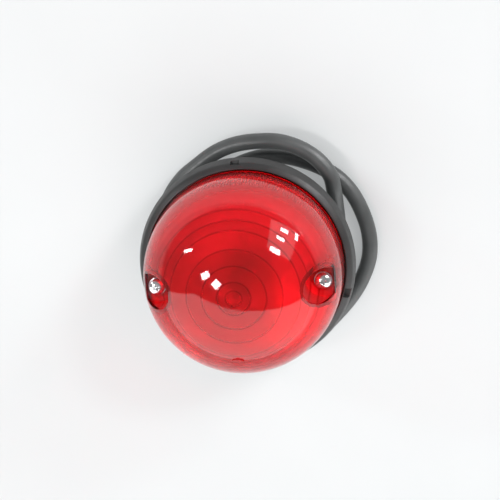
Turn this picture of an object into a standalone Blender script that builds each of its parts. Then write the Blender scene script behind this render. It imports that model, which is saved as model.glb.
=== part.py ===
"""Round two-screw dome tail light with a rear boss, a bayonet bulb and a short three-core lead.

Frame: the lamp stands on its rear boss. Z = 0 is the surface it stands on and +Z is the optical
axis, through the lens. The two lens screws lie on the X axis. Dimensions are in millimetres in
the named values and turned into metres where the meshes are made.
"""
import math

import bpy
from mathutils import Matrix, Vector

MM = 0.001
GAP = 0.3                 # running gap between neighbouring pieces

# Rear boss and base
BOSS_R = 14.0
BOSS_BORE_R = 12.0
BOSS_FLOOR = 1.8
FLANGE_Z = 18.0           # back face of the flange, above the boss's end
FLANGE_R = 38.5
FLANGE_WALL_H = 4.0
LIP_TOP_Z = FLANGE_Z + 5.4
SEAT_R = 35.0             # wall of the rebate that takes the lens
BASE_FLOOR_Z = FLANGE_Z + 2.6
PILLAR_R = 3.7
PILLAR_TOP_Z = FLANGE_Z + 10.0
REFLECTOR_R = 31.0
FIXING_HOLE_R = 2.0
FIXING_HOLE_Y = 26.0
NOTCHES = ((92.0, 3.0, 1.3), (-17.0, 3.4, 2.4), (212.0, 3.0, 1.3))   # angle, width, depth

# Lens
RIM_Z = BASE_FLOOR_Z + 1.9
LENS_R = SEAT_R - 0.4
WALL_R = 34.3
SHOULDER_Z = FLANGE_Z + 12.0
APEX_Z = FLANGE_Z + 42.5
LENS_T = 2.6
INNER_SHOULDER_Z = FLANGE_Z + 17.0
SCREW_X = 28.1
POCKET_R = 5.9
POCKET_FLOOR_Z = FLANGE_Z + 22.4
POCKET_FLOOR_T = 2.2
POCKET_WALL = 1.6
POCKET_OUTER_X = 31.9     # inner face of the wall left outside each pocket
SCREW_HOLE_R = 1.85
PAD_AT = (-0.8, -23.8, FLANGE_Z + 35.0)      # blank pad moulded on the dome
PAD_TILT = 39.0

# Fasteners
SCREW_HEAD_R = 2.75
SCREW_HEAD_H = 2.0
SCREW_SHANK_R = 1.45
SCREW_TIP_Z = FLANGE_Z + 3.2
WASHER_R = 3.0
WASHER_T = 0.6
INSERT_R = 2.5

# Bulb holder and bulb
SHELL_IN_R = 7.85
SHELL_OUT_R = 8.6
SHELL_Z = (5.0, FLANGE_Z + 8.0)
CAP_R = 7.5
CAP_Z = (10.5, 26.5)
PIN_R = 1.0
PIN_REACH = 8.45
PIN_Z = (17.3, 20.3)
PUSH = 1.5                # travel of the bulb into its holder
TWIST = 20.0              # degrees from locked to the entry slot
PLUNGER_X = 4.6
BULB_R = 12.5
BULB_MAX_Z = 43.0
CARRIER_Z = (6.5, 8.3)

# Cable
CABLE_D = 5.6
CABLE_Z = CABLE_D / 2
OUTLET_X = 5.0
OUTLET_Z = 9.8
GRIP_START_Y = -11.2
GRIP_END_Y = -20.4
CONNECTOR_AT = (-6.6, -39.6)
CONNECTOR_TURN = 180.0
CONNECTOR_SIZE = (19.0, 7.0, 6.0)

SEG = 44


def clear_scene():
    for obj in list(bpy.data.objects):
        bpy.data.objects.remove(obj, do_unlink=True)


def material(name, colour, roughness, metallic=0.0, transmission=0.0):
    mat = bpy.data.materials.new(name)
    mat.use_nodes = True
    shader = mat.node_tree.nodes["Principled BSDF"]
    shader.inputs["Base Color"].default_value = (*colour, 1.0)
    shader.inputs["Roughness"].default_value = roughness
    shader.inputs["Metallic"].default_value = metallic
    shader.inputs["Transmission Weight"].default_value = transmission
    return mat


def make_materials():
    return {
        "base": material("base_black", (0.03, 0.03, 0.032), 0.6),
        "rubber": material("rubber_black", (0.02, 0.02, 0.02), 0.8),
        "lens": material("lens_red", (0.65, 0.01, 0.02), 0.08, transmission=0.8),
        "steel": material("screw_steel", (0.75, 0.75, 0.76), 0.2, 1.0),
        "plate": material("reflector_plate", (0.8, 0.8, 0.82), 0.15, 1.0),
        "brass": material("brass", (0.75, 0.55, 0.22), 0.3, 1.0),
        "fibre": material("fibre_board", (0.35, 0.2, 0.1), 0.7),
        "glass": material("bulb_glass", (0.95, 0.97, 1.0), 0.02, transmission=1.0),
        "tungsten": material("tungsten", (0.35, 0.35, 0.36), 0.4, 1.0),
        "cable": material("cable_grey", (0.06, 0.06, 0.062), 0.55),
        "wire_red": material("wire_red", (0.5, 0.02, 0.02), 0.5),
        "wire_green": material("wire_green", (0.02, 0.25, 0.06), 0.5),
        "wire_black": material("wire_black", (0.02, 0.02, 0.02), 0.5),
    }


def add_object(name, verts_mm, faces, mat, smooth_angle=35.0):
    mesh = bpy.data.meshes.new(name)
    mesh.from_pydata([tuple(c * MM for c in v) for v in verts_mm], [], faces)
    mesh.update()
    obj = bpy.data.objects.new(name, mesh)
    bpy.context.scene.collection.objects.link(obj)
    if mat is not None:
        mesh.materials.append(mat)
    mesh.shade_smooth()
    mesh.set_sharp_from_angle(angle=math.radians(smooth_angle))
    return obj


def turned(name, profile, mat, segments=SEG):
    """A solid of revolution about Z. profile lists (r, z) counter-clockwise: up the outer side."""
    verts, rings = [], []
    for r, z in profile:
        if r < 1e-9:
            rings.append([len(verts)])
            verts.append((0.0, 0.0, z))
        else:
            rings.append(list(range(len(verts), len(verts) + segments)))
            for k in range(segments):
                a = 2 * math.pi * k / segments
                verts.append((r * math.cos(a), r * math.sin(a), z))
    faces = []
    for i, low in enumerate(rings):
        high = rings[(i + 1) % len(rings)]
        if len(low) == 1 and len(high) == 1:
            continue
        for k in range(segments):
            n = (k + 1) % segments
            if len(low) == 1:
                faces.append((low[0], high[n], high[k]))
            elif len(high) == 1:
                faces.append((low[k], low[n], high[0]))
            else:
                faces.append((low[k], low[n], high[n], high[k]))
    return add_object(name, verts, faces, mat)


def tube_profile(r_in, r_out, z_low, z_high):
    return [(r_in, z_low), (r_out, z_low), (r_out, z_high), (r_in, z_high)]


def rod_profile(r, z_low, z_high):
    return [(0.0, z_low), (r, z_low), (r, z_high), (0.0, z_high)]


def box(name, low, high, mat=None):
    corners = [(x, y, z) for z in (low[2], high[2]) for y in (low[1], high[1]) for x in (low[0], high[0])]
    faces = [(0, 2, 3, 1), (4, 5, 7, 6), (0, 1, 5, 4), (2, 6, 7, 3), (0, 4, 6, 2), (1, 3, 7, 5)]
    return add_object(name, corners, faces, mat)


def sector(name, r_in, r_out, z_low, z_high, start_deg, end_deg):
    """A piece of a ring between two angles, used to cut slots round a shell."""
    steps = max(2, int(abs(end_deg - start_deg) / 5) + 1)
    verts, faces = [], []
    for k in range(steps):
        a = math.radians(start_deg + (end_deg - start_deg) * k / (steps - 1))
        for r, z in tube_profile(r_in, r_out, z_low, z_high):
            verts.append((r * math.cos(a), r * math.sin(a), z))
    for k in range(steps - 1):
        for i in range(4):
            j = (i + 1) % 4
            faces.append((4 * k + i, 4 * k + 4 + i, 4 * k + 4 + j, 4 * k + j))
    faces.append((0, 1, 2, 3))
    last = 4 * (steps - 1)
    faces.append((last, last + 3, last + 2, last + 1))
    return add_object(name, verts, faces, None)


def place(obj, at=(0.0, 0.0, 0.0), turn=None):
    """Bakes a turn (a 4x4 rotation) and a shift in millimetres into the mesh."""
    matrix = Matrix.Translation(Vector(at) * MM)
    if turn is not None:
        matrix = matrix @ turn
    obj.data.transform(matrix)
    return obj


def boolean(obj, other, operation):
    mod = obj.modifiers.new(operation.lower(), "BOOLEAN")
    mod.operation = operation
    mod.solver = "MANIFOLD"
    mod.object = other
    other.hide_render = True
    other.display_type = "WIRE"
    return obj


def cut(obj, *cutters):
    for cutter in cutters:
        boolean(obj, cutter, "DIFFERENCE")
    return obj


def join(obj, *others):
    for other in others:
        boolean(obj, other, "UNION")
    return obj


def smooth_route(points, spacing):
    """Points about every `spacing` along a Catmull-Rom curve through the route's points."""
    pts = [Vector(p) for p in points]
    pts = [2 * pts[0] - pts[1]] + pts + [2 * pts[-1] - pts[-2]]
    dense = []
    for i in range(1, len(pts) - 2):
        a, b, c, d = pts[i - 1:i + 3]
        for step in range(12):
            t = step / 12
            dense.append(0.5 * (2 * b + (c - a) * t + (2 * a - 5 * b + 4 * c - d) * t * t
                                + (3 * b - a - 3 * c + d) * t ** 3))
    dense.append(pts[-2])
    lengths = [0.0]
    for p, q in zip(dense, dense[1:]):
        lengths.append(lengths[-1] + (q - p).length)
    count = max(2, round(lengths[-1] / spacing))
    route, i = [], 0
    for k in range(count + 1):
        goal = lengths[-1] * k / count
        while i < len(lengths) - 2 and lengths[i + 1] < goal:
            i += 1
        part = (goal - lengths[i]) / (lengths[i + 1] - lengths[i])
        route.append(dense[i].lerp(dense[i + 1], min(1.0, part)))
    return route


def tube_along(name, points, diameter, mat, spacing, resolution=3):
    curve = bpy.data.curves.new(name, "CURVE")
    curve.dimensions = "3D"
    curve.bevel_depth = diameter / 2 * MM
    curve.bevel_resolution = resolution
    curve.use_fill_caps = True
    route = smooth_route(points, spacing)
    spline = curve.splines.new("POLY")
    spline.points.add(len(route) - 1)
    for point, at in zip(spline.points, route):
        point.co = (*(at * MM), 1.0)
    curve.materials.append(mat)
    obj = bpy.data.objects.new(name, curve)
    bpy.context.scene.collection.objects.link(obj)
    return obj


# ---------------------------------------------------------------- base and its fittings

def make_base(mats):
    profile = [
        (0.0, 0.0), (BOSS_R - 0.8, 0.0), (BOSS_R, 0.8), (BOSS_R, FLANGE_Z),
        (20.0, FLANGE_Z), (20.0, FLANGE_Z + 1.2), (34.0, FLANGE_Z + 1.2), (34.0, FLANGE_Z),
        (FLANGE_R, FLANGE_Z), (FLANGE_R - 1.1, FLANGE_Z + FLANGE_WALL_H),
        (FLANGE_R - 1.5, FLANGE_Z + FLANGE_WALL_H + 0.6), (SEAT_R + 0.3, LIP_TOP_Z),
        (SEAT_R, LIP_TOP_Z - 0.3), (SEAT_R, BASE_FLOOR_Z), (BOSS_BORE_R, BASE_FLOOR_Z),
        (BOSS_BORE_R, BOSS_FLOOR), (0.0, BOSS_FLOOR),
    ]
    base = turned("base_housing", profile, mats["base"])
    for side in (-1, 1):
        pillar_shape = rod_profile(PILLAR_R, BASE_FLOOR_Z - 1.0, PILLAR_TOP_Z)
        pillar = turned(f"pillar_shape_{side}", pillar_shape, None, 24)
        join(base, place(pillar, (side * SCREW_X, 0, 0)))
        bore_shape = rod_profile(INSERT_R + GAP, FLANGE_Z + 1.6, PILLAR_TOP_Z + 1)
        bore = turned(f"pillar_bore_{side}", bore_shape, None, 24)
        cut(base, place(bore, (side * SCREW_X, 0, 0)))
        hole_shape = rod_profile(FIXING_HOLE_R, FLANGE_Z - 2, BASE_FLOOR_Z + 2)
        hole = turned(f"fixing_hole_{side}", hole_shape, None, 20)
        cut(base, place(hole, (0, side * FIXING_HOLE_Y, 0)))
    outlet = turned("outlet_hole", rod_profile(4.5, 0.0, 10.0), None, 24)
    cut(base, place(outlet, (OUTLET_X, -8.0, OUTLET_Z), Matrix.Rotation(math.radians(90), 4, "X")))
    for angle, width, depth in NOTCHES:
        notch = box(f"notch_{angle:.0f}", (FLANGE_R - depth - 0.6, -width / 2, FLANGE_Z + 2.4),
                    (FLANGE_R + 2, width / 2, FLANGE_Z + 8))
        cut(base, place(notch, turn=Matrix.Rotation(math.radians(angle), 4, "Z")))


def make_seals(mats):
    turned("mounting_gasket", tube_profile(20.3, 33.7, FLANGE_Z, FLANGE_Z + 0.9), mats["rubber"], 36)
    low, high = BASE_FLOOR_Z + GAP, RIM_Z - GAP
    turned("lens_seal", tube_profile(LENS_R - 2.2, LENS_R, low, high), mats["rubber"], 36)


def make_inserts(mats):
    for name, side in (("screw_insert_left", -1), ("screw_insert_right", 1)):
        profile = tube_profile(SCREW_SHANK_R + 0.3, INSERT_R, FLANGE_Z + 1.9, PILLAR_TOP_Z - 0.2)
        place(turned(name, profile, mats["brass"], 24), (side * SCREW_X, 0, 0))


def make_reflector(mats):
    z = BASE_FLOOR_Z + GAP
    profile = [(9.2, z), (20.0, z), (26.0, z + 0.8), (30.0, z + 2.6), (REFLECTOR_R, z + 4.0),
               (REFLECTOR_R - 0.7, z + 4.0), (29.4, z + 3.1), (25.8, z + 1.5), (19.8, z + 0.7), (9.2, z + 0.7)]
    plate = turned("reflector_plate", profile, mats["plate"])
    for side in (-1, 1):
        relief = turned(f"pillar_relief_{side}", rod_profile(PILLAR_R + 0.7, z - 1, z + 6), None, 24)
        cut(plate, place(relief, (side * SCREW_X, 0, 0)))
    for name, side in (("reflector_screw_front", -1), ("reflector_screw_rear", 1)):
        hole = turned(f"{name}_hole", rod_profile(1.5, z - 1, z + 2), None, 16)
        cut(plate, place(hole, (0, side * 14.6, 0)))
        head_z = z + 0.7 + GAP
        screw = [(0, z + 0.1), (1.2, z + 0.1), (1.2, head_z), (2.4, head_z), (2.4, head_z + 0.8),
                 (1.7, head_z + 1.4), (0, head_z + 1.5)]
        place(turned(name, screw, mats["steel"], 20), (0, side * 14.6, 0))


def make_holder(mats):
    shell = turned("bulb_holder_shell", tube_profile(SHELL_IN_R, SHELL_OUT_R, *SHELL_Z), mats["brass"], 36)
    for index, pin_z in enumerate(PIN_Z):
        locked = 90.0 + 180.0 * index
        margin = math.degrees((PIN_R + 0.4) / SHELL_IN_R)
        low = pin_z - PUSH - PIN_R - 0.3
        lock = sector(f"lock_slot_{index}", 7.0, 9.4, low, pin_z + PIN_R + 0.3,
                      locked - TWIST - margin, locked + margin)
        entry = sector(f"entry_slot_{index}", 7.0, 9.4, low + 0.2, SHELL_Z[1] + 2,
                       locked - TWIST - margin - 0.5, locked - TWIST + margin)
        cut(shell, lock, entry)
    carrier = turned("contact_carrier", rod_profile(SHELL_IN_R - 0.4, *CARRIER_Z), mats["fibre"], 32)
    for name, side in (("contact_plunger_tail", 1), ("contact_plunger_stop", -1)):
        bore = turned(f"{name}_bore", rod_profile(1.5, CARRIER_Z[0] - 1, CARRIER_Z[1] + 1), None, 16)
        cut(carrier, place(bore, (side * PLUNGER_X, 0, 0)))
        bottom, top = CARRIER_Z[0] - 0.6, CARRIER_Z[1] + 1.0
        plunger = [(0, bottom), (1.2, bottom), (1.2, CARRIER_Z[1] + GAP), (1.9, CARRIER_Z[1] + GAP),
                   (1.9, top - 0.2), (1.5, top), (0, top)]
        place(turned(name, plunger, mats["brass"], 20), (side * PLUNGER_X, 0, 0))
    spring_low, spring_high, turns, coil_r = BOSS_FLOOR + 0.65, CARRIER_Z[0] - 0.65, 3.5, 2.3
    steps = int(turns * 12)
    helix = [(coil_r * math.cos(2 * math.pi * turns * k / steps),
              coil_r * math.sin(2 * math.pi * turns * k / steps),
              spring_low + (spring_high - spring_low) * k / steps) for k in range(steps + 1)]
    tube_along("contact_spring", helix, 0.7, mats["steel"], 1.2, resolution=1)


# ---------------------------------------------------------------- bulb

def make_bulb(mats):
    low, high = CAP_Z
    cap = [(0, low), (6.6, low), (CAP_R, low + 1.0), (CAP_R, high),
           (CAP_R - 0.6, high), (CAP_R - 0.6, low + 3.0), (0, low + 3.0)]
    turned("bulb_cap", cap, mats["brass"], 32)
    for index, pin_z in enumerate(PIN_Z):
        pin = turned(f"bulb_pin_{index + 1}", rod_profile(PIN_R, CAP_R + 0.2, PIN_REACH), mats["brass"], 16)
        angle = math.radians(90.0 + 180.0 * index)
        turn = Matrix.Rotation(angle, 4, "Z") @ Matrix.Rotation(math.radians(90), 4, "Y")
        place(pin, (0, 0, pin_z), turn)
    for name, side in (("bulb_contact_tail", 1), ("bulb_contact_stop", -1)):
        button = [(0, low - 0.9), (1.3, low - 0.75), (1.7, low - GAP), (0, low - GAP)]
        place(turned(name, button, mats["steel"], 20), (side * PLUNGER_X, 0, 0))
    outer = [(CAP_R - 1.1, 24.5), (CAP_R - 1.0, 27.5), (8.2, 30.0), (11.0, 35.5), (12.2, 40.0)]
    steps = 6
    outer += [(BULB_R * math.cos(math.pi / 2 * k / steps),
               BULB_MAX_Z + BULB_R * math.sin(math.pi / 2 * k / steps))
              for k in range(steps)]
    outer.append((0.0, BULB_MAX_Z + BULB_R))
    wall = 0.7
    inner = [(0.0, BULB_MAX_Z + BULB_R - wall)]
    inner += [((BULB_R - wall) * math.cos(math.pi / 2 * k / steps),
               BULB_MAX_Z + (BULB_R - wall) * math.sin(math.pi / 2 * k / steps))
              for k in range(steps - 1, -1, -1)]
    inner += [(11.5, 40.0), (10.2, 35.6), (7.5, 30.4), (CAP_R - 1.8, 27.6), (CAP_R - 1.8, 24.5)]
    turned("bulb_glass", outer + inner, mats["glass"], 28)
    stem = [(0, 14.2), (4.2, 14.2), (4.0, 27.0), (2.0, 30.0), (1.6, 35.0), (0, 35.5)]
    turned("bulb_stem", stem, mats["glass"], 24)
    for name, y, top in (("filament_stop", 1.9, 43.5), ("filament_tail", -2.9, 40.0)):
        route = [(-3.0, y, 36.2), (-4.2, y, top - 2), (-3.6, y, top),
                 (-2.4, y * 1.02, top + 0.3), (0, y * 1.05, top + 0.4),
                 (2.4, y * 1.02, top + 0.3), (3.6, y, top), (4.2, y, top - 2), (3.0, y, 36.2)]
        tube_along(name, route, 0.7, mats["tungsten"], 1.6, resolution=1)


# ---------------------------------------------------------------- lens and its screws

def dome_points(radius, low_z, high_z, steps):
    """Quarter of a slightly squared ellipse from the shoulder (radius, low_z) to just short of the axis."""
    power = 2 / 2.15
    points = []
    for k in range(steps):
        t = math.pi / 2 * k / steps
        points.append((radius * math.cos(t) ** power, low_z + (high_z - low_z) * math.sin(t) ** power))
    return points


def make_lens(mats):
    outer = [(LENS_R, RIM_Z), (LENS_R, FLANGE_Z + 9.2)]
    outer += dome_points(WALL_R, SHOULDER_Z, APEX_Z, 12)
    outer += [(0.0, APEX_Z), (0.0, RIM_Z)]
    lens = turned("lens", outer, mats["lens"])
    skirt_r, inner_r = LENS_R - 2.3, WALL_R - 2.9
    inner = [(skirt_r, RIM_Z - 1), (skirt_r, PILLAR_TOP_Z + 0.6), (inner_r + 0.1, PILLAR_TOP_Z + 1.8)]
    inner += dome_points(inner_r, INNER_SHOULDER_Z, APEX_Z - LENS_T, 9)
    inner += [(0.0, APEX_Z - LENS_T), (0.0, RIM_Z - 1)]
    cavity = turned("lens_cavity", inner, None)
    floor_low = POCKET_FLOOR_Z - POCKET_FLOOR_T
    for side in (-1, 1):
        body_shape = rod_profile(POCKET_R + POCKET_WALL, floor_low, APEX_Z + 2)
        body = turned(f"pocket_body_{side}", body_shape, None, 32)
        column_shape = rod_profile(4.4, PILLAR_TOP_Z + GAP, floor_low + 0.5)
        column = turned(f"pocket_column_{side}", column_shape, None, 24)
        cut(cavity, place(body, (side * SCREW_X, 0, 0)), place(column, (side * SCREW_X, 0, 0)))
    cut(lens, cavity)
    for side in (-1, 1):
        bore = turned(f"pocket_bore_{side}", rod_profile(POCKET_R, POCKET_FLOOR_Z, APEX_Z + 3), None, 32)
        place(bore, (side * SCREW_X, 0, 0))
        far = box(f"pocket_limit_{side}", (POCKET_OUTER_X, -9, POCKET_FLOOR_Z - 1), (60, 9, APEX_Z + 4))
        if side < 0:
            place(far, turn=Matrix.Rotation(math.pi, 4, "Z"))
        cut(bore, far)
        hole = turned(f"screw_hole_{side}", rod_profile(SCREW_HOLE_R, PILLAR_TOP_Z - 1, APEX_Z), None, 20)
        cut(lens, bore, place(hole, (side * SCREW_X, 0, 0)))
    pad = turned("lens_pad", rod_profile(2.2, -1.2, 0.4), None, 24)
    tilt = Matrix.Rotation(math.radians(-92.0), 4, "Z") @ Matrix.Rotation(math.radians(PAD_TILT), 4, "Y")
    join(lens, place(pad, PAD_AT, tilt))


def make_lens_screws(mats):
    for name, side in (("left", -1), ("right", 1)):
        seat = POCKET_FLOOR_Z + GAP
        washer = turned(f"lens_washer_{name}", tube_profile(SCREW_HOLE_R, WASHER_R, seat, seat + WASHER_T),
                        mats["steel"], 32)
        place(washer, (side * SCREW_X, 0, 0))
        under = seat + WASHER_T + GAP
        profile = [(0, SCREW_TIP_Z), (SCREW_SHANK_R - 0.5, SCREW_TIP_Z), (SCREW_SHANK_R, SCREW_TIP_Z + 0.7),
                   (SCREW_SHANK_R, under), (SCREW_HEAD_R, under), (SCREW_HEAD_R, under + 0.9),
                   (SCREW_HEAD_R - 0.4, under + 1.5), (SCREW_HEAD_R - 1.2, under + 1.85),
                   (0, under + SCREW_HEAD_H)]
        screw = place(turned(f"lens_screw_{name}", profile, mats["steel"], 32), (side * SCREW_X, 0, 0))
        for turn in (20.0, 110.0):
            slot = box(f"cross_{name}_{turn:.0f}", (-1.6, -0.4, under + 0.8), (1.6, 0.4, under + 4))
            cut(screw, place(slot, (side * SCREW_X, 0, 0), Matrix.Rotation(math.radians(turn), 4, "Z")))


# ---------------------------------------------------------------- wiring and cable

CABLE_ROUTE = [
    (5.0, -21.7, 9.8), (5.0, -23.6, 9.8), (4.3, -26.6, 9.8), (1.6, -30.6, 9.5), (-3.0, -33.2, 8.9),
    (-8.6, -33.4, 7.8), (-15.4, -29.9, 6.0), (-22.2, -24.7, 4.2), (-28.2, -17.6, 3.1),
    (-32.1, -9.0, 2.8), (-33.4, 0.3, 2.8),
    (-32.8, 9.0, 2.9), (-30.8, 16.8, 3.4), (-27.0, 24.0, 4.6), (-22.5, 29.4, 5.6), (-17.8, 33.1, 6.2),
    (-10.2, 38.2, 7.0), (-2.4, 41.1, 7.9), (6.0, 42.0, 8.7), (13.6, 41.4, 8.9), (20.4, 38.8, 8.9),
    (26.2, 34.6, 8.9), (30.4, 28.8, 8.8), (31.6, 22.8, 8.2), (31.9, 16.8, 6.0), (32.2, 10.4, 3.8),
    (32.0, 4.0, 2.9), (30.9, -3.0, 2.8), (28.6, -9.8, 2.8), (24.9, -16.0, 2.8), (19.6, -20.8, 2.8),
    (13.2, -24.8, 2.8), (4.4, -26.8, 2.8), (-4.8, -26.6, 2.8), (-13.6, -23.4, 2.8), (-20.8, -17.2, 2.8),
    (-25.6, -9.0, 2.8), (-27.0, 0.3, 2.8), (-25.8, 9.0, 2.8), (-22.2, 16.8, 2.8), (-16.6, 23.4, 2.8),
    (-9.4, 29.2, 2.8), (-1.6, 33.2, 2.8), (6.4, 35.2, 2.8), (14.2, 34.9, 2.8), (21.4, 32.9, 2.8),
    (28.0, 29.8, 2.8), (33.6, 25.6, 2.8), (38.0, 19.8, 2.8), (41.2, 12.6, 2.8), (43.0, 5.0, 2.8),
    (42.8, -3.0, 2.8), (40.2, -10.6, 2.8), (35.9, -17.8, 2.8), (29.6, -25.0, 2.8), (22.6, -31.6, 2.8),
    (15.4, -36.8, 2.8), (10.0, -39.3, 2.9), (6.7, -39.6, 3.0),
]


def make_cable_grip(mats):
    start, end = GRIP_START_Y, GRIP_END_Y
    length = start - end
    body = [(2.9, 0.0), (4.2, 0.0), (4.2, 3.4), (5.3, 3.4), (5.3, 4.6), (4.1, 4.6)]
    for k in range(2):
        at = 5.4 + 1.7 * k
        radius = 4.0 - 0.22 * k
        body += [(radius - 0.4, at), (radius - 0.4, at + 0.7), (radius, at + 0.7), (radius - 0.1, at + 1.2)]
    body += [(3.5, length), (2.9, length)]
    turn = Matrix.Rotation(math.radians(90), 4, "X")
    place(turned("cable_grip", body, mats["rubber"], 20), (OUTLET_X, start, OUTLET_Z), turn)


def make_inner_wires(mats):
    inside = GRIP_END_Y + 1.0
    x, z = OUTLET_X, OUTLET_Z
    routes = {
        "wire_tail": ("wire_red", [(x + 0.95, inside, z - 0.7), (x + 0.95, -14.2, z - 0.7),
                                   (x + 0.95, -11.6, z - 0.8), (7.2, -7.9, 8.0),
                                   (9.5, -4.0, 5.6), (9.9, -1.2, 3.6), (8.6, 0.2, 2.9), (5.2, 0.2, 2.9)]),
        "wire_stop": ("wire_green", [(x - 0.95, inside, z - 0.7), (x - 0.95, -14.2, z - 0.7),
                                     (x - 0.95, -11.8, z - 0.7), (1.9, -10.3, 8.6),
                                     (-2.4, -10.0, 7.4), (-6.8, -7.7, 5.8), (-9.9, -2.8, 4.2),
                                     (-9.8, -0.8, 3.4), (-8.2, 0.1, 2.9), (-5.2, 0.2, 2.9)]),
        "wire_earth": ("wire_black", [(x, inside, z + 1.2), (x, -14.2, z + 1.2),
                                      (x, -11.6, z + 1.2), (6.8, -8.1, 11.8),
                                      (9.4, -4.2, 12.8), (10.2, -0.6, 13.6), (10.25, 1.1, 14.0)]),
    }
    for name, (colour, route) in routes.items():
        tube_along(name, route, 1.4, mats[colour], 2.0, resolution=1)
    box("earth_tab", (SHELL_OUT_R + 0.35, 1.6, 12.6), (11.2, 3.4, 15.6), mats["brass"])


def make_connector(mats):
    length, width, height = CONNECTOR_SIZE
    turn = Matrix.Rotation(math.radians(CONNECTOR_TURN), 4, "Z")
    body = box("connector_body", (-length / 2, -width / 2, -height / 2), (length / 2, width / 2, height / 2),
               mats["base"])
    bevel = body.modifiers.new("edges", "BEVEL")
    bevel.width = 0.6 * MM
    bevel.segments = 2
    at = (*CONNECTOR_AT, height / 2)
    for k in (-1, 0, 1):
        hole = turned(f"terminal_hole_{k}", rod_profile(0.95, 0, 9), None, 12)
        place(hole, (length / 2 - 8, k * 2.2, 0), Matrix.Rotation(math.radians(90), 4, "Y"))
        cut(body, place(hole, at, turn))
        pin = turned(f"connector_terminal_{k + 2}", rod_profile(0.65, 0, 6.5), mats["brass"], 12)
        place(pin, (length / 2 - 7.6, k * 2.2, 0), Matrix.Rotation(math.radians(90), 4, "Y"))
        place(pin, at, turn)
    place(body, at, turn)
    latch = box("connector_latch", (-3, -1.6, height / 2 + GAP), (7, 1.6, height / 2 + 1.3), mats["base"])
    place(latch, at, turn)
    ribs = [(0, 0), (3.2, 0), (3.2, 0.8), (2.8, 0.8), (2.8, 1.6), (3.2, 1.6), (3.2, 2.6), (0, 2.6)]
    seal = turned("connector_seal", ribs, mats["rubber"], 24)
    place(seal, (-length / 2 - 2.9, 0, CABLE_Z - height / 2 + 0.5), Matrix.Rotation(math.radians(90), 4, "Y"))
    place(seal, at, turn)


def make_cable(mats):
    tube_along("cable_sheath", CABLE_ROUTE, CABLE_D, mats["cable"], 9.5)


def main():
    clear_scene()
    mats = make_materials()
    make_base(mats)
    make_seals(mats)
    make_inserts(mats)
    make_reflector(mats)
    make_holder(mats)
    make_bulb(mats)
    make_lens(mats)
    make_lens_screws(mats)
    make_cable_grip(mats)
    make_inner_wires(mats)
    make_cable(mats)
    make_connector(mats)


main()
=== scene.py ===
"""Looks for the round tail light: red ribbed lens, black housing, bulb, screws and coiled lead.

Lengths are millimetres in the named values and metres in the meshes. The lamp stands on its rear
boss at Z = 0 with the lens up.
"""
import math

import bpy
from mathutils import Matrix, Vector


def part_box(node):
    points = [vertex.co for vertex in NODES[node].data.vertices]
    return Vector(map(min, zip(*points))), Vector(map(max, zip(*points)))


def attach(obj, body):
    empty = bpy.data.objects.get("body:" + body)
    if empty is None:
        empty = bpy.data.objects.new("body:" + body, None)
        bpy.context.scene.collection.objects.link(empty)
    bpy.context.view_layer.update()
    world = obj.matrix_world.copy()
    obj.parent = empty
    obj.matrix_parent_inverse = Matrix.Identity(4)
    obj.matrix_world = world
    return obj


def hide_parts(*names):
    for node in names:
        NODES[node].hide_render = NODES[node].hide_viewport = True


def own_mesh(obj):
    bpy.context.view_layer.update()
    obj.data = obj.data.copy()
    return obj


MM = 0.001
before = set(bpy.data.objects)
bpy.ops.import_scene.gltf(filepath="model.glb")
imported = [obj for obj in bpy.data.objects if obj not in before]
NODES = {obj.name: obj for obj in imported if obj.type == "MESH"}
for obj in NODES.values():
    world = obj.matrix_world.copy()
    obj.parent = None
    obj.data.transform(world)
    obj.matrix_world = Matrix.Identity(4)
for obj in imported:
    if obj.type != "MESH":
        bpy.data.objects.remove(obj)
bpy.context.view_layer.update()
SCENE = bpy.context.scene


def node_box_mm(name):
    low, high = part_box(name)
    return [v / MM for v in low], [v / MM for v in high]


LENS_LOW, LENS_HIGH = node_box_mm("lens")
BASE_HIGH = node_box_mm("base_housing")[1]
SPRING_LOW, SPRING_HIGH = node_box_mm("contact_spring")
SCREW_X = sum(v[0] for v in node_box_mm("lens_screw_right")) / 2

# Sizes shared with the CAD model, in millimetres
FLANGE_Z = 18.0
FLANGE_R = BASE_HIGH[0]
SEAT_R = 35.0
BASE_FLOOR_Z = FLANGE_Z + 2.6
LIP_TOP_Z = FLANGE_Z + 5.4
PILLAR_TOP_Z = BASE_HIGH[2]
BOSS_R = 14.0
BOSS_BORE_R = 12.0
BOSS_FLOOR = 1.8
LENS_R = 34.6
RIM_Z = LENS_LOW[2]
APEX_Z = LENS_HIGH[2]
WALL_R = 34.3
DOME_POWER = 2.15
SHOULDER_Z = FLANGE_Z + 12.0
LENS_T = 2.6
INNER_SHOULDER_Z = FLANGE_Z + 17.0
POCKET_R = 5.9
POCKET_WALL = 1.6
POCKET_FLOOR_Z = FLANGE_Z + 22.4
POCKET_FLOOR_T = 2.2
POCKET_OUTER_X = 31.9


# ---------------------------------------------------------------- node helpers

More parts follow.
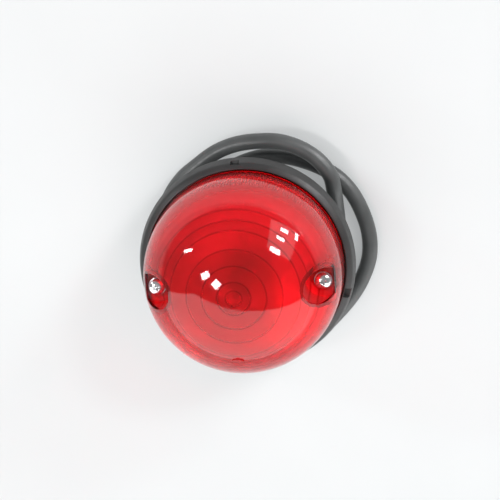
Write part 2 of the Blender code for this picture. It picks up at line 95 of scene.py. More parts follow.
class Nodes:
    """Short calls for building a node tree."""

    def __init__(self, name):
        self.mat = bpy.data.materials.new(name)
        self.mat.use_nodes = True
        self.tree = self.mat.node_tree
        self.shader = self.tree.nodes["Principled BSDF"]
        self.out = self.tree.nodes["Material Output"]
        self.coords = self.tree.nodes.new("ShaderNodeTexCoord")

    def add(self, kind, **values):
        node = self.tree.nodes.new(kind)
        for key, value in values.items():
            if key in node.inputs:
                node.inputs[key].default_value = value
            else:
                setattr(node, key, value)
        return node

    def link(self, a, b):
        self.tree.links.new(a, b)

    def noise(self, scale, detail=3.0, rough=0.5, source=None):
        node = self.add("ShaderNodeTexNoise", Scale=scale, Detail=detail, Roughness=rough)
        self.link(source or self.coords.outputs["Object"], node.inputs["Vector"])
        return node

    def ramp(self, source, stops):
        node = self.tree.nodes.new("ShaderNodeValToRGB")
        elements = node.color_ramp.elements
        while len(elements) < len(stops):
            elements.new(0.5)
        for element, (at, colour) in zip(elements, stops):
            element.position = at
            element.color = (*colour, 1.0)
        self.link(source, node.inputs["Fac"])
        return node.outputs["Color"]

    def ranged(self, source, low, high, from_low=0.3, from_high=0.7):
        node = self.add("ShaderNodeMapRange")
        node.inputs["From Min"].default_value = from_low
        node.inputs["From Max"].default_value = from_high
        node.inputs["To Min"].default_value = low
        node.inputs["To Max"].default_value = high
        self.link(source, node.inputs["Value"])
        return node.outputs["Result"]

    def math(self, operation, a, b):
        node = self.add("ShaderNodeMath", operation=operation)
        for socket, value in zip(node.inputs, (a, b)):
            if isinstance(value, (int, float)):
                socket.default_value = value
            else:
                self.link(value, socket)
        return node.outputs["Value"]

    def bump(self, height, strength, distance):
        node = self.add("ShaderNodeBump", Strength=strength, Distance=distance)
        self.link(height, node.inputs["Height"])
        self.link(node.outputs["Normal"], self.shader.inputs["Normal"])
        return node

    def plain(self, **values):
        for key, value in values.items():
            self.shader.inputs[key.replace("_", " ")].default_value = value


def moulded_plastic(name, dark, light, rough_low, rough_high, grain=2600.0, depth=0.00004):
    """Moulded plastic: fine grain, cloudy colour and uneven gloss."""
    n = Nodes(name)
    cloud = n.noise(90.0, 4.0)
    n.link(n.ramp(cloud.outputs["Fac"], [(0.3, dark), (0.7, light)]), n.shader.inputs["Base Color"])
    wear = n.noise(420.0, 5.0, 0.65)
    n.link(n.ranged(wear.outputs["Fac"], rough_low, rough_high), n.shader.inputs["Roughness"])
    fine = n.noise(grain, 2.0)
    n.bump(fine.outputs["Fac"], 0.35, depth)
    return n


def rubber(name):
    n = moulded_plastic(name, (0.012, 0.012, 0.012), (0.03, 0.03, 0.03), 0.62, 0.85, 1800.0, 0.00006)
    n.plain(Specular_IOR_Level=0.35)
    return n.mat


def cable_skin():
    dark, light = (0.062, 0.065, 0.065), (0.092, 0.096, 0.096)
    return moulded_plastic("cable_pvc", dark, light, 0.30, 0.44, 2200.0, 0.00003).mat


def metal(name, colour, rough_low, rough_high, tint=0.12, scale=700.0, depth=0.00001):
    """Plated or turned metal with cloudy tarnish and fine handling marks."""
    n = Nodes(name)
    dull = tuple(c * (1 - tint) for c in colour)
    cloud = n.noise(160.0, 5.0, 0.6)
    n.link(n.ramp(cloud.outputs["Fac"], [(0.35, dull), (0.65, colour)]), n.shader.inputs["Base Color"])
    marks = n.noise(scale, 6.0, 0.7)
    n.link(n.ranged(marks.outputs["Fac"], rough_low, rough_high), n.shader.inputs["Roughness"])
    n.bump(marks.outputs["Fac"], 0.3, depth)
    n.plain(Metallic=1.0)
    return n.mat


def laminate(name):
    n = Nodes(name)
    fibre = n.noise(900.0, 6.0, 0.7)
    n.link(n.ramp(fibre.outputs["Fac"], [(0.3, (0.13, 0.055, 0.02)), (0.7, (0.26, 0.13, 0.055))]),
           n.shader.inputs["Base Color"])
    n.link(n.ranged(fibre.outputs["Fac"], 0.45, 0.7), n.shader.inputs["Roughness"])
    n.bump(fibre.outputs["Fac"], 0.4, 0.00004)
    return n.mat


def wire_skin(name, dark, light):
    return moulded_plastic(name, dark, light, 0.35, 0.55, 2400.0, 0.00002).mat


def see_through(n, tint):
    """Lets light rays for shadows pass, tinted, so what is behind the piece is lit."""
    clear = n.add("ShaderNodeBsdfTransparent", Color=(*tint, 1.0))
    path = n.add("ShaderNodeLightPath")
    mix = n.add("ShaderNodeMixShader")
    n.link(path.outputs["Is Shadow Ray"], mix.inputs["Fac"])
    n.link(n.shader.outputs["BSDF"], mix.inputs[1])
    n.link(clear.outputs["BSDF"], mix.inputs[2])
    n.link(mix.outputs["Shader"], n.out.inputs["Surface"])


def red_acrylic():
    """Clear red acrylic: glossy outside, and a grained inner side whose tint carries painted light and shade:
    dark painted shade lines at the ring steps, alternate rings painted lighter and darker, and a pale painted
    light band towards the rim.
    """
    n = Nodes("lens_red_acrylic")
    n.plain(Transmission_Weight=1.0, IOR=1.49)
    axes = n.add("ShaderNodeSeparateXYZ")
    n.link(n.coords.outputs["Object"], axes.inputs[0])
    across = n.math("SQRT", n.math("ADD", n.math("POWER", axes.outputs["X"], 2.0),
                                   n.math("POWER", axes.outputs["Y"], 2.0)), 0.0)
    above = n.math("MAXIMUM", n.math("SUBTRACT", axes.outputs["Z"], SHOULDER_Z * MM), 0.0)
    skin = n.math("ADD", n.math("POWER", n.math("DIVIDE", across, WALL_R * MM), DOME_POWER),
                  n.math("POWER", n.math("DIVIDE", above, (APEX_Z - SHOULDER_Z) * MM), DOME_POWER))
    outside = n.ranged(skin, 0.0, 1.0, 0.90, 0.95)
    smear = n.ranged(n.noise(240.0, 4.0, 0.6).outputs["Fac"], 0.02, 0.07)
    inside = n.math("SUBTRACT", 1.0, outside)
    rough = n.math("ADD", n.math("MULTIPLY", outside, smear), n.math("MULTIPLY", inside, INNER_ROUGHNESS))
    n.link(rough, n.shader.inputs["Roughness"])
    # Painted light and shade on the inner side: the two reds paint alternate rings as lit and shaded, dark is
    # a painted shade line at each ring step, and the pale end is a painted light band outside the band
    # radius.
    ring_light_reds = ((0.88, 0.27, 0.42), (0.78, 0.22, 0.36))
    dark, painted_band_light = (0.34, 0.05, 0.09), (1.0, 0.46, 0.60)
    stops = [(0.0, ring_light_reds[0])]
    for k, radius in enumerate(RING_RADII):
        at = radius + RING_SHADE_LINE / 2
        stops += [(at - RING_SHADE_LINE, ring_light_reds[k % 2]), (at, dark), (at + RING_SHADE_LINE, ring_light_reds[(k + 1) % 2])]
    stops += [(LIT_BAND_R, stops[-1][1]), (LIT_BAND_R + 0.6, painted_band_light)]
    rings = n.ramp(n.math("DIVIDE", across, WALL_R * MM), [(r / WALL_R, tint) for r, tint in stops])
    tint = n.add("ShaderNodeMixRGB", Color1=(1.0, 0.36, 0.50, 1.0))
    n.link(inside, tint.inputs["Fac"])
    n.link(rings, tint.inputs["Color2"])
    n.link(tint.outputs["Color"], n.shader.inputs["Base Color"])
    n.bump(n.noise(55.0, 2.0).outputs["Fac"], 0.10, 0.0003)
    body = n.add("ShaderNodeVolumeAbsorption", Color=(0.90, 0.02, 0.10, 1.0), Density=680.0)
    n.link(body.outputs["Volume"], n.out.inputs["Volume"])
    see_through(n, (0.90, 0.10, 0.13))
    return n.mat


def clear_glass():
    n = Nodes("bulb_glass")
    n.plain(Base_Color=(0.97, 0.985, 0.98, 1.0), Transmission_Weight=1.0, IOR=1.47)
    film = n.noise(180.0, 3.0)
    n.link(n.ranged(film.outputs["Fac"], 0.0, 0.05), n.shader.inputs["Roughness"])
    see_through(n, (0.93, 0.95, 0.95))
    return n.mat


# ---------------------------------------------------------------- mesh helpers

def add_object(name, verts_mm, faces, mat=None, smooth_angle=32.0):
    mesh = bpy.data.meshes.new(name)
    mesh.from_pydata([(x * MM, y * MM, z * MM) for x, y, z in verts_mm], [], faces)
    mesh.update()
    obj = bpy.data.objects.new(name, mesh)
    SCENE.collection.objects.link(obj)
    if mat is not None:
        mesh.materials.append(mat)
    mesh.shade_smooth()
    mesh.set_sharp_from_angle(angle=math.radians(smooth_angle))
    return obj


def turned(name, profile, mat=None, segments=96, shape=None):
    """A solid of revolution about Z. profile lists (r, z), up the outer side. shape(r, z, angle) may
    return another radius, to rib the surface."""
    verts, rings = [], []
    for r, z in profile:
        if r < 1e-9:
            rings.append([len(verts)])
            verts.append((0.0, 0.0, z))
            continue
        rings.append(list(range(len(verts), len(verts) + segments)))
        for k in range(segments):
            a = 2 * math.pi * k / segments
            radius = shape(r, z, a) if shape else r
            verts.append((radius * math.cos(a), radius * math.sin(a), z))
    faces = []
    for i, low in enumerate(rings):
        high = rings[(i + 1) % len(rings)]
        if len(low) == 1 and len(high) == 1:
            continue
        for k in range(segments):
            n = (k + 1) % segments
            if len(low) == 1:
                faces.append((low[0], high[n], high[k]))
            elif len(high) == 1:
                faces.append((low[k], low[n], high[0]))
            else:
                faces.append((low[k], low[n], high[n], high[k]))
    return add_object(name, verts, faces, mat)


def rod_profile(r, z_low, z_high):
    return [(0.0, z_low), (r, z_low), (r, z_high), (0.0, z_high)]


def block(name, low, high):
    corners = [(x, y, z) for z in (low[2], high[2]) for y in (low[1], high[1]) for x in (low[0], high[0])]
    faces = [(0, 2, 3, 1), (4, 5, 7, 6), (0, 1, 5, 4), (2, 6, 7, 3), (0, 4, 6, 2), (1, 3, 7, 5)]
    return add_object(name, corners, faces)


def place(obj, at=(0.0, 0.0, 0.0), turn=None):
    matrix = Matrix.Translation(Vector(at) * MM)
    if turn is not None:
        matrix = matrix @ turn
    obj.data.transform(matrix)
    return obj


def combine(obj, other, operation):
    """Applies a boolean at once and throws the other shape away."""
    mod = obj.modifiers.new("boolean", "BOOLEAN")
    mod.operation = operation
    mod.solver = "MANIFOLD"
    mod.object = other
    graph = bpy.context.evaluated_depsgraph_get()
    mesh = bpy.data.meshes.new_from_object(obj.evaluated_get(graph))
    obj.modifiers.clear()
    skin = list(obj.data.materials)[:1]
    mesh.materials.clear()
    for mat in skin:
        mesh.materials.append(mat)
    mesh.polygons.foreach_set("material_index", [0] * len(mesh.polygons))
    obj.data = mesh
    bpy.data.objects.remove(other, do_unlink=True)
    return obj


def cut(obj, *others):
    for other in others:
        combine(obj, other, "DIFFERENCE")
    return obj


def join(obj, *others):
    for other in others:
        combine(obj, other, "UNION")
    return obj


def sharpen(obj, angle=30.0):
    obj.data.shade_smooth()
    obj.data.set_sharp_from_angle(angle=math.radians(angle))
    return obj


def arc(cx, cz, radius, start_deg, end_deg, steps):
    """Points (r, z) round a corner."""
    points = []
    for k in range(steps + 1):
        a = math.radians(start_deg + (end_deg - start_deg) * k / steps)
        points.append((cx + radius * math.cos(a), cz + radius * math.sin(a)))
    return points


# ---------------------------------------------------------------- camera and lights

def make_camera():
    """A 90 mm lens looking down the lamp's axis from above and a little to the right."""
    azimuth, elevation, roll, distance = -24.53, 106.85, 21.36, 0.4407
    target = Vector((1.4, 5.0, FLANGE_Z)) * MM
    a, e, r = (math.radians(v) for v in (azimuth, elevation, roll))
    back = Vector((math.sin(a) * math.cos(e), -math.cos(a) * math.cos(e), math.sin(e)))
    up = Vector((-math.sin(a) * math.sin(e), math.cos(a) * math.sin(e), math.cos(e)))
    right = up.cross(back)
    turned_right = right * math.cos(r) + up * math.sin(r)
    turned_up = -right * math.sin(r) + up * math.cos(r)
    data = bpy.data.cameras.new("camera")
    data.lens = 90.0
    data.sensor_width = 36.0
    data.clip_start = 0.01
    camera = bpy.data.objects.new("camera", data)
    basis = Matrix((turned_right, turned_up, back)).transposed().to_4x4()
    camera.matrix_world = Matrix.Translation(target + back * distance) @ basis
    SCENE.collection.objects.link(camera)
    SCENE.camera = camera


def softbox(name, direction, distance, size, radiance, roll=0.0):
    """A rectangular lamp of even brightness that faces the dome."""
    data = bpy.data.lights.new(name, "AREA")
    data.shape = "RECTANGLE"
    data.size, data.size_y = size
    data.energy = radiance * math.pi * size[0] * size[1]
    light = bpy.data.objects.new(name, data)
    target = Vector((0.0, 0.0, 0.05))
    offset = Vector(direction).normalized() * distance
    facing = offset.to_track_quat("Z", "Y").to_matrix().to_4x4()
    spin = Matrix.Rotation(math.radians(roll), 4, "Z")
    light.matrix_world = Matrix.Translation(target + offset) @ facing @ spin
    SCENE.collection.objects.link(light)


def make_lights():
    """A big white panel in front, and two barred windows high on the right and on the left."""
    world = bpy.data.worlds.new("studio")
    world.use_nodes = True
    background = world.node_tree.nodes["Background"]
    background.inputs["Color"].default_value = (0.96, 0.98, 1.0, 1.0)
    background.inputs["Strength"].default_value = 0.30
    SCENE.world = world
    panel = bpy.data.lights.new("front_panel", "AREA")
    panel.shape = "RECTANGLE"
    panel.size, panel.size_y = 7.0, 2.6
    panel.energy = 2.0 * math.pi * 7.0 * 2.6
    front = bpy.data.objects.new("front_panel", panel)
    slant = Matrix.Rotation(math.radians(25.0), 4, "Y") @ Matrix.Rotation(math.radians(90.0), 4, "X")
    front.matrix_world = Matrix.Translation((-0.35, -0.9, 0.62)) @ slant
    SCENE.collection.objects.link(front)
    for k, (direction, size) in enumerate((
            ((0.59, 0.46, 0.67), (0.17, 0.10)), ((0.66, 0.60, 0.42), (0.13, 0.07)),
            ((0.70, 0.68, 0.22), (0.13, 0.08)), ((0.80, 0.50, 0.10), (0.06, 0.14)))):
        softbox(f"window_right_{k + 1}", direction, 0.9, size, 34.0, 20.0)
    for k, (direction, size) in enumerate((
            ((-0.52, 0.08, 0.85), (0.10, 0.13)), ((-0.35, -0.06, 0.93), (0.11, 0.10)),
            ((-0.78, 0.43, 0.46), (0.05, 0.16)))):
        softbox(f"window_left_{k + 1}", direction, 0.9, size, 34.0, 35.0)
    softbox("window_glow", (0.70, 0.60, 0.40), 1.0, (0.50, 0.70), 1.6, 20.0)
    SCENE.view_settings.view_transform = "Standard"
    SCENE.view_settings.look = "None"


def make_floor():
    n = Nodes("studio_floor")
    speck = n.noise(14.0, 3.0)
    n.link(n.ramp(speck.outputs["Fac"], [(0.3, (0.44, 0.445, 0.445)), (0.7, (0.46, 0.465, 0.465))]),
           n.shader.inputs["Base Color"])
    n.plain(Roughness=0.7, Specular_IOR_Level=0.2)
    n.plain(Emission_Color=(0.96, 0.99, 1.0, 1.0), Emission_Strength=0.30)
    half = 3000.0
    corners = [(-half, -half, 0), (half, -half, 0), (half, half, 0), (-half, half, 0)]
    floor = add_object("studio_floor", corners, [(0, 1, 2, 3)], n.mat)


# ---------------------------------------------------------------- cable

CABLE_D = 5.6
CABLE_ROUTE = [
    (5.0, -21.7, 9.8), (5.0, -23.6, 9.8), (4.3, -26.6, 9.8), (1.6, -30.6, 9.5), (-3.0, -33.2, 8.9),
    (-8.6, -33.4, 7.8), (-15.4, -29.9, 6.0), (-22.2, -24.7, 4.2), (-28.2, -17.6, 3.1), (-32.1, -9.0, 2.8),
    (-33.4, 0.3, 2.8), (-32.8, 9.0, 2.9), (-30.8, 16.8, 3.4), (-27.0, 24.0, 4.6), (-22.5, 29.4, 5.6),
    (-17.8, 33.1, 6.2), (-10.2, 38.2, 7.0), (-2.4, 41.1, 7.9), (6.0, 42.0, 8.7), (13.6, 41.4, 8.9),
    (20.4, 38.8, 8.9), (26.2, 34.6, 8.9), (30.4, 28.8, 8.8), (31.6, 22.8, 8.2), (31.9, 16.8, 6.0),
    (32.2, 10.4, 3.8), (32.0, 4.0, 2.9), (30.9, -3.0, 2.8), (28.6, -9.8, 2.8), (24.9, -16.0, 2.8),
    (19.6, -20.8, 2.8), (13.2, -24.8, 2.8), (4.4, -26.8, 2.8), (-4.8, -26.6, 2.8), (-13.6, -23.4, 2.8),
    (-20.8, -17.2, 2.8), (-25.6, -9.0, 2.8), (-27.0, 0.3, 2.8), (-25.8, 9.0, 2.8), (-22.2, 16.8, 2.8),
    (-16.6, 23.4, 2.8), (-9.4, 29.2, 2.8), (-1.6, 33.2, 2.8), (6.4, 35.2, 2.8), (14.2, 34.9, 2.8),
    (21.4, 32.9, 2.8), (28.0, 29.8, 2.8), (33.6, 25.6, 2.8), (38.0, 19.8, 2.8), (41.2, 12.6, 2.8),
    (43.0, 5.0, 2.8), (42.8, -3.0, 2.8), (40.2, -10.6, 2.8), (35.9, -17.8, 2.8), (29.6, -25.0, 2.8),
    (22.6, -31.6, 2.8), (15.4, -36.8, 2.8), (10.0, -39.3, 2.9), (6.7, -39.6, 3.0),
]


def smooth_route(points, per_span):
    """Catmull-Rom curve through the points."""
    pts = [Vector(p) for p in points]
    pts = [2 * pts[0] - pts[1]] + pts + [2 * pts[-1] - pts[-2]]
    dense = []
    for i in range(1, len(pts) - 2):
        a, b, c, d = pts[i - 1:i + 3]
        for step in range(per_span):
            t = step / per_span
            dense.append(0.5 * (2 * b + (c - a) * t + (2 * a - 5 * b + 4 * c - d) * t * t
                                + (3 * b - a - 3 * c + d) * t ** 3))
    dense.append(pts[-2])
    return dense


def round_tube(name, route, radius, resolution, mat):
    """A curve object of one open spline through every point of the route."""
    curve = bpy.data.curves.new(name, "CURVE")
    curve.dimensions = "3D"
    curve.bevel_depth = radius * MM
    curve.bevel_resolution = resolution
    curve.use_fill_caps = True
    spline = curve.splines.new("POLY")
    spline.points.add(len(route) - 1)
    for point, at in zip(spline.points, route):
        point.co = (*(at * MM), 1.0)
    curve.materials.append(mat)
    tube = bpy.data.objects.new(name, curve)
    SCENE.collection.objects.link(tube)
    return tube


def make_cable():
    route = smooth_route(CABLE_ROUTE, 6)
    cable = round_tube("cable", route, CABLE_D / 2, 8, cable_skin())
    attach(cable, "housing")
    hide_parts("cable_sheath")


# ---------------------------------------------------------------- housing

PILLAR_R = 3.7
PILLAR_BORE_R = 2.8
FIXING_HOLE_R = 2.0
FIXING_HOLE_Y = 26.0
NOTCHES = ((92.0, 3.0, 1.3), (-17.0, 3.4, 2.4), (212.0, 3.0, 1.3))   # angle, width, depth


def make_housing(mat):
    """The moulded base: rounded flange with a rolled lip, screw pillars and the rear boss."""
    wall_top = FLANGE_Z + 4.0
    profile = [(0.0, 0.0), (BOSS_R - 0.8, 0.0)] + arc(BOSS_R - 0.8, 0.8, 0.8, -90, 0, 4)[1:]
    profile += [(BOSS_R, FLANGE_Z - 1.2)] + [(BOSS_R + 0.35, FLANGE_Z - 0.35), (BOSS_R + 1.2, FLANGE_Z)]
    profile += [(20.0, FLANGE_Z), (20.0, FLANGE_Z + 1.2), (34.0, FLANGE_Z + 1.2), (34.0, FLANGE_Z)]
    profile += [(FLANGE_R - 0.3, FLANGE_Z), (FLANGE_R - 0.05, FLANGE_Z + 0.2)]
    profile += [(FLANGE_R - 1.0, wall_top - 0.3), (FLANGE_R - 1.25, wall_top + 0.15)]
    profile += [(FLANGE_R - 1.7, wall_top + 0.55)]
    profile += [(SEAT_R + 0.6, LIP_TOP_Z - 0.05), (SEAT_R + 0.3, LIP_TOP_Z), (SEAT_R + 0.05, LIP_TOP_Z - 0.2)]
    profile += [(SEAT_R, LIP_TOP_Z - 0.5), (SEAT_R, BASE_FLOOR_Z), (BOSS_BORE_R, BASE_FLOOR_Z)]
    profile += [(BOSS_BORE_R, BOSS_FLOOR), (0.0, BOSS_FLOOR)]
    base = turned("housing_shell", profile, mat, 180)
    for side in (-1, 1):
        pillar = [(0, BASE_FLOOR_Z - 1), (PILLAR_R, BASE_FLOOR_Z - 1), (PILLAR_R, PILLAR_TOP_Z - 0.4),
                  (PILLAR_R - 0.4, PILLAR_TOP_Z), (0, PILLAR_TOP_Z)]
        join(base, place(turned("pillar", pillar, None, 40), (side * SCREW_X, 0, 0)))
        bore = turned("bore", rod_profile(PILLAR_BORE_R, FLANGE_Z + 1.6, PILLAR_TOP_Z + 1), None, 40)
        cut(base, place(bore, (side * SCREW_X, 0, 0)))
        hole = turned("fixing", rod_profile(FIXING_HOLE_R, FLANGE_Z - 2, BASE_FLOOR_Z + 2), None, 32)
        cut(base, place(hole, (0, side * FIXING_HOLE_Y, 0)))
    outlet = turned("outlet", rod_profile(4.5, 0.0, 10.0), None, 48)
    cut(base, place(outlet, (5.0, -8.0, 9.8), Matrix.Rotation(math.radians(90), 4, "X")))
    for angle, width, depth in NOTCHES:
        notch = block("notch", (FLANGE_R - depth - 0.6, -width / 2, FLANGE_Z + 2.4),
                      (FLANGE_R + 2, width / 2, FLANGE_Z + 8))
        cut(base, place(notch, turn=Matrix.Rotation(math.radians(angle), 4, "Z")))
    sharpen(base, 34)
    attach(base, "housing")
    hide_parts("base_housing")


# ---------------------------------------------------------------- lens

FLUTES = 240
RING_RADII = (2.4, 5.2, 10.2, 15.3, 20.8, 23.6, 26.5)
RING_STEP = 0.7
# Width of the painted shade line at each ring step, and the radius where the painted light band on the lens
# begins.
RING_SHADE_LINE = 0.5
LIT_BAND_R = 28.2
INNER_ROUGHNESS = 0.7
PAD_AT = (-0.8, -23.8, FLANGE_Z + 35.0)
PAD_R = 2.2
PAD_TURN = -92.0
PAD_TILT = 39.0
SCREW_HOLE_R = 1.85
SCREW_COLUMN_R = 4.4


def dome_z(r, radius, low, high):
    """Height of the slightly squared dome at a distance r from the axis."""
    share = (r / radius) ** DOME_POWER
    return low + (high - low) * (1.0 - min(1.0, share)) ** (1 / DOME_POWER)


def dome_profile(radius, low, high, steps):
    """Quarter dome (r, z) from the shoulder to near the axis, with even steps of angle."""
    angles = [math.pi / 2 * k / steps for k in range(steps)]
    return [(radius * math.cos(t) ** (2 / DOME_POWER), low + (high - low) * math.sin(t) ** (2 / DOME_POWER))
            for t in angles]


def stepped_dome(radius, low, high, steps):
    """The inner dome with its ring prisms: each ring swells towards its outer edge and ends in a step."""
    reach = [r for r, z in dome_profile(radius, low, high, steps)]
    reach += [ring + side for ring in RING_RADII for side in (-0.06, 0.06)]
    edges = (0.0, *RING_RADII)
    points = []
    for r in sorted(reach, reverse=True):
        swell = 0.0
        for inner_edge, outer_edge in zip(edges, edges[1:]):
            if inner_edge < r <= outer_edge:
                swell = RING_STEP * ((r - inner_edge) / (outer_edge - inner_edge)) ** 2
        points.append((r, dome_z(r, radius, low, high) - swell))
    return points


def fluted(r, z, angle):
    """Fine upright ribs inside the lens wall, which stop at the inner shoulder."""
    if z > INNER_SHOULDER_Z + 1.2:
        return r
    return r + 0.3 * (abs(math.sin(FLUTES * angle / 2)) - 0.5)


def make_lens(mat):
    outer = [(LENS_R - 0.3, RIM_Z), (LENS_R, RIM_Z + 0.3), (LENS_R, FLANGE_Z + 7.4)]
    outer += [(LENS_R, FLANGE_Z + 9.2), (34.4, FLANGE_Z + 10.6)]
    outer += dome_profile(WALL_R, SHOULDER_Z, APEX_Z, 64)
    outer += [(0.0, APEX_Z), (0.0, RIM_Z)]
    lens = turned("lens_body", outer, mat, 192)
    skirt_r, inner_r = LENS_R - 2.3, WALL_R - 2.9
    inner = [(skirt_r, RIM_Z - 1), (skirt_r, PILLAR_TOP_Z + 0.6), (inner_r + 0.1, PILLAR_TOP_Z + 1.8)]
    inner += stepped_dome(inner_r, INNER_SHOULDER_Z, APEX_Z - LENS_T, 56)
    inner += [(0.0, APEX_Z - LENS_T), (0.0, RIM_Z - 1)]
    cavity = turned("lens_cavity", inner, None, FLUTES * 4, fluted)
    floor_low = POCKET_FLOOR_Z - POCKET_FLOOR_T
    for side in (-1, 1):
        body = turned("pocket_body", rod_profile(POCKET_R + POCKET_WALL, floor_low, APEX_Z + 2), None, 64)
        column_shape = rod_profile(SCREW_COLUMN_R, PILLAR_TOP_Z + 0.3, floor_low + 0.5)
        column = turned("pocket_column", column_shape, None, 48)
        cut(cavity, place(body, (side * SCREW_X, 0, 0)), place(column, (side * SCREW_X, 0, 0)))
    cut(lens, cavity)
    for side in (-1, 1):
        bore = turned("pocket_bore", rod_profile(POCKET_R, POCKET_FLOOR_Z, APEX_Z + 3), None, 72)
        place(bore, (side * SCREW_X, 0, 0))
        far = block("pocket_limit", (POCKET_OUTER_X, -9, POCKET_FLOOR_Z - 1), (60, 9, APEX_Z + 4))
        if side < 0:
            place(far, turn=Matrix.Rotation(math.pi, 4, "Z"))
        cut(bore, far)
        hole = turned("screw_hole", rod_profile(SCREW_HOLE_R, PILLAR_TOP_Z - 1, APEX_Z), None, 40)
        cut(lens, bore, place(hole, (side * SCREW_X, 0, 0)))
    pad = turned("blank_pad", rod_profile(PAD_R, -1.2, 0.3), None, 40)
    lean = Matrix.Rotation(math.radians(PAD_TURN), 4, "Z") @ Matrix.Rotation(math.radians(PAD_TILT), 4, "Y")
    join(lens, place(pad, PAD_AT, lean))
    sharpen(lens, 28)
    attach(lens, "lens")
    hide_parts("lens")


# ---------------------------------------------------------------- bulb

def make_bulb_glass(mat):
    bulb_r, centre = 12.5, 43.0
    inner_r = bulb_r - 0.7
    outer = [(6.4, 24.5), (6.5, 27.5), (7.1, 28.8), (8.2, 30.2), (9.7, 32.6), (11.0, 35.2)]
    outer += [(11.9, 37.6), (12.35, 40.2)]
    outer += arc(0, centre, bulb_r, 0, 90, 18)[:-1] + [(0.0, centre + bulb_r)]
    inner = [(0.0, centre + inner_r)] + arc(0, centre, inner_r, 90, 0, 18)[1:]
    inner += [(11.65, 40.2), (11.2, 37.7), (10.35, 35.4), (9.05, 32.9), (7.6, 30.6), (6.4, 29.1)]
    inner += [(5.8, 27.7), (5.7, 24.5)]
    glass = turned("bulb_envelope", outer + inner, mat, 96)
    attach(glass, "bulb")
    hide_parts("bulb_glass")


# ---------------------------------------------------------------- metal pieces

def make_contact_spring(mat):
    """Coil spring under the contact carrier, drawn as a still coil that fills the spring's box; the real
    spring shortens as the bulb is pushed in.
    """
    turns, coil_r, wire_r, steps = 4, 2.3, 0.35, 128
    low, rise = SPRING_LOW[2] + wire_r, SPRING_HIGH[2] - SPRING_LOW[2] - 2 * wire_r
    helix = []
    for k in range(steps + 1):
        a = 2 * math.pi * turns * k / steps
        helix.append(Vector((coil_r * math.cos(a), coil_r * math.sin(a), low + rise * k / steps)))
    former = round_tube("coil_former", helix, wire_r, 3, mat)
    graph = bpy.context.evaluated_depsgraph_get()
    mesh = bpy.data.meshes.new_from_object(former.evaluated_get(graph))
    bpy.data.objects.remove(former, do_unlink=True)
    spring = bpy.data.objects.new("contact_coil", mesh)
    SCENE.collection.objects.link(spring)
    sharpen(spring, 40)
    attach(spring, "housing")
    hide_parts("contact_spring")
    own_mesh(spring)


def make_lens_screws(mat):
    """Raised cross-recess screws with a rolled edge and a tapered recess."""
    for name in ("left", "right"):
        low, high = node_box_mm(f"lens_screw_{name}")
        x, top, radius = (low[0] + high[0]) / 2, high[2], (high[0] - low[0]) / 2
        under = top - 2.0
        profile = [(0, low[2]), (0.95, low[2]), (1.45, low[2] + 0.7), (1.45, under - 0.2), (1.6, under)]
        profile += [(radius - 0.15, under), (radius, under + 0.15), (radius, under + 0.75)]
        for k in range(1, 10):
            t = 1.3 * k / 9
            profile.append((radius * math.cos(t), under + 0.75 + 1.25 * math.sin(t) / math.sin(1.3)))
        profile += [(0, top)]
        screw = place(turned(f"screw_{name}", profile, mat, 64), (x, 0, 0))
        for turn in (20.0, 110.0):
            verts = []
            for half, wide, z in ((1.6, 0.36, top + 1), (1.6 * 0.45, 0.36 * 0.7, top - 1.2)):
                verts += [(-half, -wide, z), (half, -wide, z), (half, wide, z), (-half, wide, z)]
            faces = [(0, 1, 2, 3), (7, 6, 5, 4), (0, 4, 5, 1), (1, 5, 6, 2), (2, 6, 7, 3), (3, 7, 4, 0)]
            slot = add_object("cross", verts, faces)
            cut(screw, place(slot, (x, 0, 0), Matrix.Rotation(math.radians(turn), 4, "Z")))
        sharpen(screw, 35)
        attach(screw, f"screw_{name}")
        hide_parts(f"lens_screw_{name}")


def make_reflector(mat):
    z = BASE_FLOOR_Z + 0.3
    profile = [(9.2, z), (20.0, z), (23.0, z + 0.3), (26.0, z + 0.8), (28.2, z + 1.6), (30.0, z + 2.6)]
    profile += [(31.0, z + 3.9), (30.85, z + 4.0), (30.4, z + 4.0), (29.5, z + 3.1), (27.9, z + 2.3)]
    profile += [(25.8, z + 1.5), (22.8, z + 1.0), (19.8, z + 0.7), (12.0, z + 0.7), (11.7, z + 0.5)]
    profile += [(11.2, z + 0.5), (10.9, z + 0.7), (9.2, z + 0.7)]
    plate = turned("reflector_dish", profile, mat, 160)
    for side in (-1, 1):
        cut(plate, place(turned("relief", rod_profile(4.4, z - 1, z + 6), None, 48), (side * SCREW_X, 0, 0)))
    for side in (-1, 1):
        cut(plate, place(turned("hole", rod_profile(1.5, z - 1, z + 2), None, 32), (0, side * 14.6, 0)))
    sharpen(plate, 34)
    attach(plate, "housing")
    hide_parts("reflector_plate")


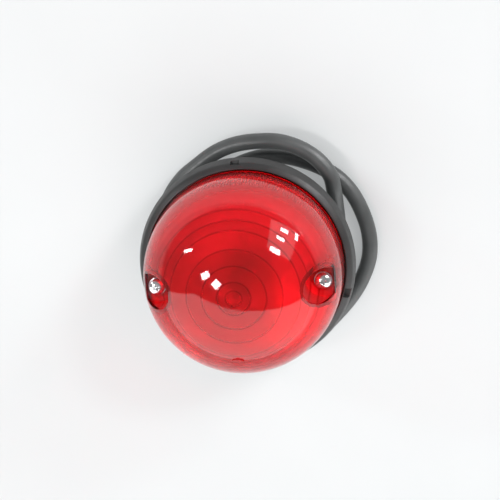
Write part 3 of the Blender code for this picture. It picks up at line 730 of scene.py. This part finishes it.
def dress(names, mat):
    for name in names:
        data = NODES[name].data
        data.materials.clear()
        data.materials.append(mat)
        data.shade_smooth()
        data.set_sharp_from_angle(angle=math.radians(32))


def main():
    make_camera()
    make_cable()
    make_lights()
    make_floor()
    housing = moulded_plastic("housing_plastic", (0.020, 0.020, 0.020), (0.034, 0.034, 0.034), 0.34, 0.5)
    brass = metal("brass", (0.78, 0.57, 0.25), 0.22, 0.42)
    steel = metal("screw_steel", (0.80, 0.80, 0.81), 0.08, 0.26)
    bright = metal("reflector_metal", (0.86, 0.86, 0.87), 0.08, 0.22)
    black_rubber = rubber("gasket_rubber")
    glass = clear_glass()
    make_housing(housing.mat)
    make_lens(red_acrylic())
    make_bulb_glass(glass)
    make_lens_screws(steel)
    make_reflector(bright)
    make_contact_spring(steel)
    dress(["mounting_gasket", "lens_seal", "cable_grip", "connector_seal"], black_rubber)
    dress(["screw_insert_left", "screw_insert_right", "bulb_holder_shell", "contact_plunger_tail",
           "contact_plunger_stop", "earth_tab", "connector_terminal_1", "connector_terminal_2",
           "connector_terminal_3"], brass)
    dress(["lens_washer_left", "lens_washer_right", "reflector_screw_front",
           "reflector_screw_rear"], steel)
    dress(["contact_carrier"], laminate("insulating_board"))
    dress(["bulb_cap", "bulb_pin_1", "bulb_pin_2"], metal("bulb_brass", (0.75, 0.62, 0.38), 0.15, 0.35))
    dress(["bulb_contact_tail", "bulb_contact_stop"], metal("contact_solder", (0.6, 0.6, 0.62), 0.3, 0.5))
    dress(["filament_stop", "filament_tail"], metal("filament_wire", (0.35, 0.35, 0.36), 0.25, 0.45))
    dress(["bulb_stem"], glass)
    dress(["wire_tail"], wire_skin("wire_red", (0.36, 0.015, 0.012), (0.5, 0.03, 0.02)))
    dress(["wire_stop"], wire_skin("wire_green", (0.012, 0.16, 0.035), (0.03, 0.26, 0.06)))
    dress(["wire_earth"], wire_skin("wire_black", (0.012, 0.012, 0.012), (0.03, 0.03, 0.03)))
    dress(["connector_body", "connector_latch"],
          moulded_plastic("connector_plastic", (0.02, 0.02, 0.021), (0.036, 0.036, 0.037), 0.38, 0.55).mat)


main()
